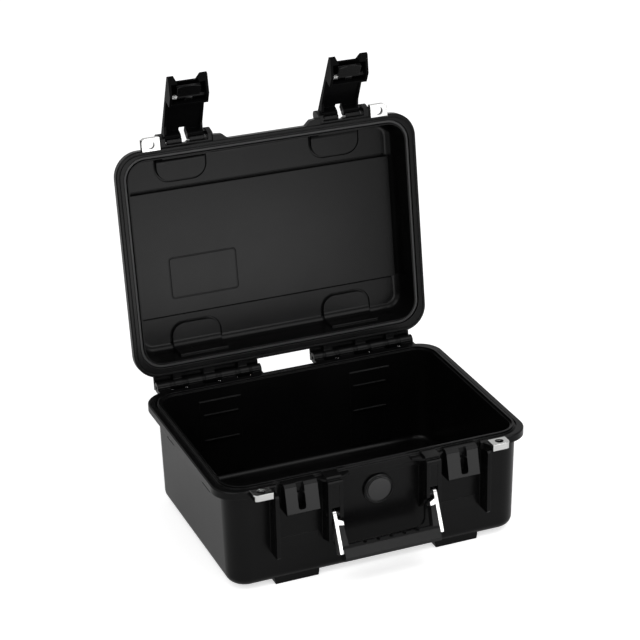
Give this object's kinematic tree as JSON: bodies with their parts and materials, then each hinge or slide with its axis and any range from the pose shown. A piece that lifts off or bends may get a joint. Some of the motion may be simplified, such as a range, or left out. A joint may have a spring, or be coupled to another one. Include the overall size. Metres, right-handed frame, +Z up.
{
  "type": "waterproof equipment case",
  "caption": "Rigid waterproof case with hinged lid, sealing rim, trigger latches, padlock eyes, folding handle and pressure valve, shown open.",
  "frame": {"origin": "on the plane that the feet stand on, under the middle of the open case", "axes": "+Z up, +X along the case's width, the latches and handle towards -Y"},
  "size_m": [0.374, 0.3982, 0.4954],
  "materials": {
    "case_plastic": "satin",
    "grip_plastic": "satin",
    "valve_plastic": "satin",
    "cap_plastic": "satin",
    "gasket_rubber": "matte",
    "membrane": "matte",
    "steel": "brushed"
  },
  "bodies": {
    "base": {"base_shell": "case_plastic", "hinge_pin_left": "steel", "hinge_pin_right": "steel", "handle_pin_left": "steel", "handle_pin_right": "steel", "base_padlock_plate_left": "steel", "base_padlock_plate_right": "steel", "valve_body": "valve_plastic", "valve_cap": "cap_plastic", "valve_seal": "gasket_rubber", "valve_membrane": "membrane", "valve_nut": "valve_plastic"},
    "lid": {"lid_shell": "case_plastic", "lid_gasket": "gasket_rubber", "lid_padlock_plate_left": "steel", "lid_padlock_plate_right": "steel", "latch_pin_left": "steel", "latch_pin_right": "steel"},
    "handle": {"handle_frame": "steel", "handle_grip": "grip_plastic"},
    "latch_left": {"latch_body_left": "case_plastic", "trigger_pin_left": "steel", "trigger_spring_left": "steel"},
    "trigger_left": {"latch_trigger_left": "case_plastic"},
    "latch_right": {"latch_body_right": "case_plastic", "trigger_pin_right": "steel", "trigger_spring_right": "steel"},
    "trigger_right": {"latch_trigger_right": "case_plastic"}
  },
  "joints": [
    {"name": "lid_hinge", "type": "hinge", "parent": "base", "child": "lid", "pos_m": [0, 0.11948, 0.1295], "axis": [-1, 0, 0], "range_deg": [-97.8, 0]},
    {"name": "handle_hinge", "type": "hinge", "parent": "base", "child": "handle", "pos_m": [0, -0.17052, 0.0835], "axis": [-1, 0, 0], "range_deg": [0, 65]},
    {"name": "latch_left_hinge", "type": "hinge", "parent": "lid", "child": "latch_left", "pos_m": [-0.0975, 0.17518, 0.41458], "axis": [-1, 0, 0], "range_deg": [-60, 30]},
    {"name": "trigger_left_hinge", "type": "hinge", "parent": "latch_left", "child": "trigger_left", "pos_m": [-0.0975, 0.15205, 0.46994], "axis": [-1, 0, 0], "range_deg": [0, 12], "stiffness_Nm_per_rad": 0.05},
    {"name": "latch_right_hinge", "type": "hinge", "parent": "lid", "child": "latch_right", "pos_m": [0.0975, 0.17518, 0.41458], "axis": [-1, 0, 0], "range_deg": [-56, 30]},
    {"name": "trigger_right_hinge", "type": "hinge", "parent": "latch_right", "child": "trigger_right", "pos_m": [0.0975, 0.14824, 0.46819], "axis": [-1, 0, 0], "range_deg": [0, 12], "stiffness_Nm_per_rad": 0.05}
  ]
}
